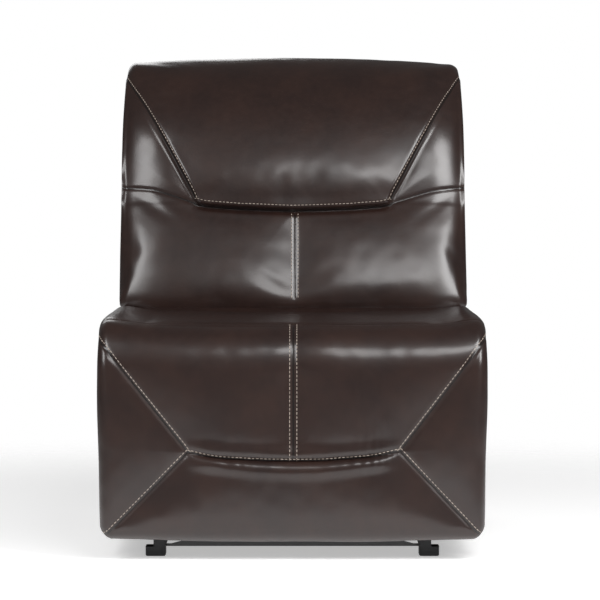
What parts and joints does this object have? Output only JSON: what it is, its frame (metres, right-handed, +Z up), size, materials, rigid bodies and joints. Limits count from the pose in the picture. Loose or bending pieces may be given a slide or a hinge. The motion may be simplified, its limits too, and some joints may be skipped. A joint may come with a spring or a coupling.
{
  "type": "armless recliner",
  "caption": "Armless leather recliner: the back leans and slides the seat forward, and a footrest unfolds under one continuous chaise cover.",
  "frame": {"origin": "on the floor, under the middle of the closed and upright chair", "axes": "+Z up, +Y towards the back of the chair, +X to the right as seen from the front"},
  "size_m": [0.762, 0.96, 1.0193],
  "materials": {
    "leather_over_foam": "glossy brown leather over foam",
    "leather_over_board": "glossy brown leather over padded board",
    "timber": "sawn plywood and pine",
    "black_steel": "black powder coat",
    "black_plastic": "moulded matte",
    "zinc_steel": "zinc plated",
    "spring_wire": "oil tempered",
    "mechanism_steel": "black e-coat"
  },
  "bodies": {
    "base": {"base_cross_rail_front": "black_steel", "base_cross_rail_rear": "black_steel", "base_pivot_pins": "zinc_steel", "base_rail_left": "black_steel", "base_rail_right": "black_steel", "foot_front_left": "black_plastic", "foot_front_right": "black_plastic", "foot_rear_left": "black_plastic", "foot_rear_right": "black_plastic"},
    "front_swing": {"front_swing_links": "mechanism_steel", "front_swing_tube": "mechanism_steel"},
    "rear_swing": {"rear_swing_links": "mechanism_steel", "rear_swing_tube": "mechanism_steel"},
    "seat": {"rear_panel": "leather_over_board", "release_cup": "black_plastic", "seat_cushion": "leather_over_foam", "seat_front_board": "timber", "seat_front_rail": "timber", "seat_pivot_pins": "zinc_steel", "seat_plate_left": "mechanism_steel", "seat_plate_right": "mechanism_steel", "seat_plate_screws": "zinc_steel", "seat_rear_rail": "timber", "seat_side_rail_left": "timber", "seat_side_rail_right": "timber", "seat_springs": "spring_wire", "side_panel_left": "leather_over_board", "side_panel_right": "leather_over_board"},
    "release_handle": {"release_paddle": "black_plastic"},
    "back": {"back_bottom_rail": "timber", "back_bracket_left": "mechanism_steel", "back_bracket_right": "mechanism_steel", "back_bracket_screws": "zinc_steel", "back_side_panel_left": "leather_over_board", "back_side_panel_right": "leather_over_board", "back_side_rail_left": "timber", "back_side_rail_right": "timber", "back_springs": "spring_wire", "back_top_rail": "timber", "head_cushion": "leather_over_foam", "lumbar_cushion": "leather_over_foam", "outer_back": "leather_over_board", "wing_cushion_left": "leather_over_foam", "wing_cushion_right": "leather_over_foam"},
    "rear_ottoman_link": {"rear_ottoman_link_left": "mechanism_steel", "rear_ottoman_link_right": "mechanism_steel", "ottoman_drive_tube": "mechanism_steel"},
    "front_ottoman_link": {"front_ottoman_link_left": "mechanism_steel", "front_ottoman_link_right": "mechanism_steel"},
    "upper_ottoman_link": {"upper_ottoman_link_left": "mechanism_steel", "upper_ottoman_link_right": "mechanism_steel", "upper_ottoman_pins": "zinc_steel"},
    "lower_ottoman_link": {"lower_ottoman_links": "mechanism_steel", "lower_ottoman_pins": "zinc_steel"},
    "footrest": {"footrest_board": "timber", "footrest_bracket_left": "mechanism_steel", "footrest_bracket_right": "mechanism_steel", "footrest_pad": "leather_over_foam", "footrest_screws": "zinc_steel"}
  },
  "joints": [
    {"name": "recline", "type": "hinge", "parent": "seat", "child": "back", "pos_m": [0, 0.20407, 0.285], "axis": [-1, 0, 0], "range_deg": [0, 40]},
    {"name": "footrest_open", "type": "hinge", "parent": "seat", "child": "footrest", "pos_m": [0, -0.4595, 0.4495], "axis": [-1, 0, 0], "range_deg": [0, 95]},
    {"name": "front_swing_pivot", "type": "hinge", "parent": "base", "child": "front_swing", "pos_m": [0, -0.15, 0.14], "axis": [1, 0, 0], "range_deg": [0, 40]},
    {"name": "rear_swing_pivot", "type": "hinge", "parent": "base", "child": "rear_swing", "pos_m": [0, 0.12, 0.14], "axis": [1, 0, 0], "range_deg": [0, 40]},
    {"name": "seat_pivot", "type": "hinge", "parent": "front_swing", "child": "seat", "pos_m": [0, -0.1158, 0.23397], "axis": [-1, 0, 0], "range_deg": [0, 40]},
    {"name": "front_ottoman_pivot", "type": "hinge", "parent": "seat", "child": "front_ottoman_link", "pos_m": [0, -0.3815, 0.3455], "axis": [-1, 0, 0], "range_deg": [0, 95]},
    {"name": "rear_ottoman_pivot", "type": "hinge", "parent": "seat", "child": "rear_ottoman_link", "pos_m": [0, -0.3335, 0.2815], "axis": [-1, 0, 0], "range_deg": [0, 95]},
    {"name": "upper_ottoman_pivot", "type": "hinge", "parent": "front_ottoman_link", "child": "upper_ottoman_link", "pos_m": [0, -0.3027, 0.129], "axis": [1, 0, 0], "range_deg": [0, 95]},
    {"name": "lower_ottoman_pivot", "type": "hinge", "parent": "front_ottoman_link", "child": "lower_ottoman_link", "pos_m": [0, -0.28218, 0.07262], "axis": [1, 0, 0], "range_deg": [0, 95]},
    {"name": "release_pull", "type": "hinge", "parent": "seat", "child": "release_handle", "pos_m": [-0.373, -0.17, 0.332], "axis": [0, 1, 0], "range_deg": [0, 30], "stiffness_Nm_per_rad": 0.4}
  ],
  "couplings": [
    {"joint": "front_swing_pivot", "follows": "recline", "ratio": 1},
    {"joint": "rear_swing_pivot", "follows": "recline", "ratio": 1},
    {"joint": "seat_pivot", "follows": "recline", "ratio": 1},
    {"joint": "front_ottoman_pivot", "follows": "footrest_open", "ratio": 1},
    {"joint": "rear_ottoman_pivot", "follows": "footrest_open", "ratio": 1},
    {"joint": "upper_ottoman_pivot", "follows": "footrest_open", "ratio": 1},
    {"joint": "lower_ottoman_pivot", "follows": "footrest_open", "ratio": 1}
  ]
}
